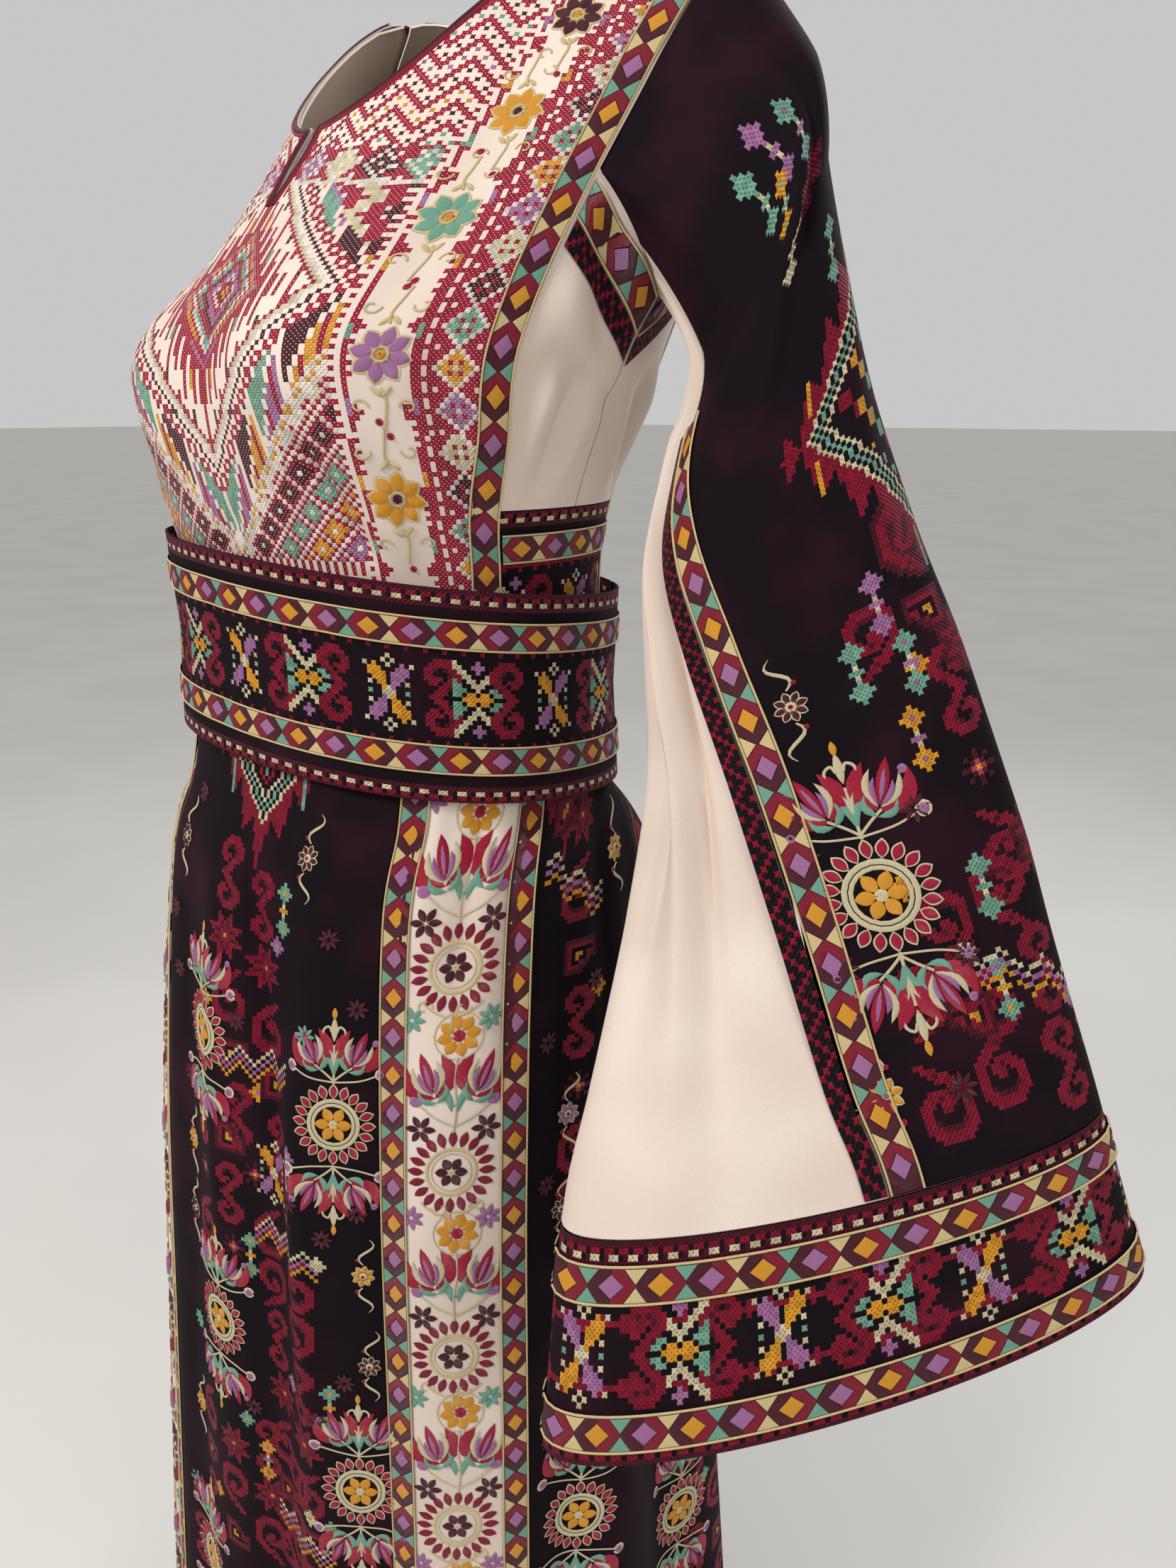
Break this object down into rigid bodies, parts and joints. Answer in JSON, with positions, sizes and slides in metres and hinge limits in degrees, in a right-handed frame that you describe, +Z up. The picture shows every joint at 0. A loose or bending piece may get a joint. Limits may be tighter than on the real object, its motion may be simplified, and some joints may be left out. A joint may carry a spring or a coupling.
{
  "type": "embroidered thobe, worn and belted",
  "caption": "Long traditional dress with a cross-stitched front, wide bell sleeves with deep cuffs, a panelled velvet skirt and a separate wide belt",
  "frame": {"origin": "the middle of the shoulder line at the side of the neck, where the wearer's shoulders hold the garment", "axes": "+Z up, the front towards -Y, the wearer's left towards +X"},
  "size_m": [0.8659, 0.4824, 1.3894],
  "materials": {
    "embroidered_crepe": "ivory crepe nearly covered with cross-stitch in crimson, wine, sage, gold and lilac",
    "ivory_crepe": "matt ivory crepe with a fine grain",
    "velvet": "deep black velvet with a plum sheen",
    "embroidered_velvet": "black velvet with dense wine cross-stitch",
    "ribbon": "satin-stitched ribbon of diamonds and chevrons with gold cord edges",
    "edging": "black edging with crimson cross-stitch",
    "binding": "crimson woven binding",
    "gold_wire": "polished"
  },
  "bodies": {
    "root": {"bodice_front": "embroidered_crepe", "bodice_back": "ivory_crepe", "side_front_left": "ivory_crepe", "side_back_left": "ivory_crepe", "waist_band_left": "embroidered_velvet", "side_front_right": "ivory_crepe", "side_back_right": "ivory_crepe", "waist_band_right": "embroidered_velvet", "ribbon_front_left": "ribbon", "armhole_ribbon_front_left": "ribbon", "armhole_edging_front_left": "edging", "ribbon_back_left": "ribbon", "armhole_ribbon_back_left": "ribbon", "armhole_edging_back_left": "edging", "ribbon_front_right": "ribbon", "armhole_ribbon_front_right": "ribbon", "armhole_edging_front_right": "edging", "ribbon_back_right": "ribbon", "armhole_ribbon_back_right": "ribbon", "armhole_edging_back_right": "edging", "neck_binding_left": "binding", "neck_binding_right": "binding", "neck_binding_back": "binding", "sleeve_left": "velvet", "under_sleeve_left": "ivory_crepe", "cuff_left": "embroidered_velvet", "cuff_ribbon_upper_left": "ribbon", "cuff_ribbon_lower_left": "ribbon", "sleeve_ribbon_front_left": "ribbon", "sleeve_edging_front_left": "edging", "sleeve_ribbon_back_left": "ribbon", "sleeve_edging_back_left": "edging", "sleeve_right": "velvet", "under_sleeve_right": "ivory_crepe", "cuff_right": "embroidered_velvet", "cuff_ribbon_upper_right": "ribbon", "cuff_ribbon_lower_right": "ribbon", "sleeve_ribbon_front_right": "ribbon", "sleeve_edging_front_right": "edging", "sleeve_ribbon_back_right": "ribbon", "sleeve_edging_back_right": "edging", "skirt_front": "embroidered_velvet", "floral_panel_left": "ivory_crepe", "floral_panel_right": "ivory_crepe", "skirt_side_left": "embroidered_velvet", "skirt_side_right": "embroidered_velvet", "skirt_back": "embroidered_velvet", "skirt_ribbon_inner_left": "ribbon", "skirt_ribbon_outer_left": "ribbon", "skirt_ribbon_inner_right": "ribbon", "skirt_ribbon_outer_right": "ribbon", "belt": "embroidered_velvet", "belt_ribbon_upper": "ribbon", "belt_ribbon_lower": "ribbon", "belt_hook_1": "gold_wire", "belt_hook_2": "gold_wire", "belt_hook_3": "gold_wire"}
  },
  "joints": []
}
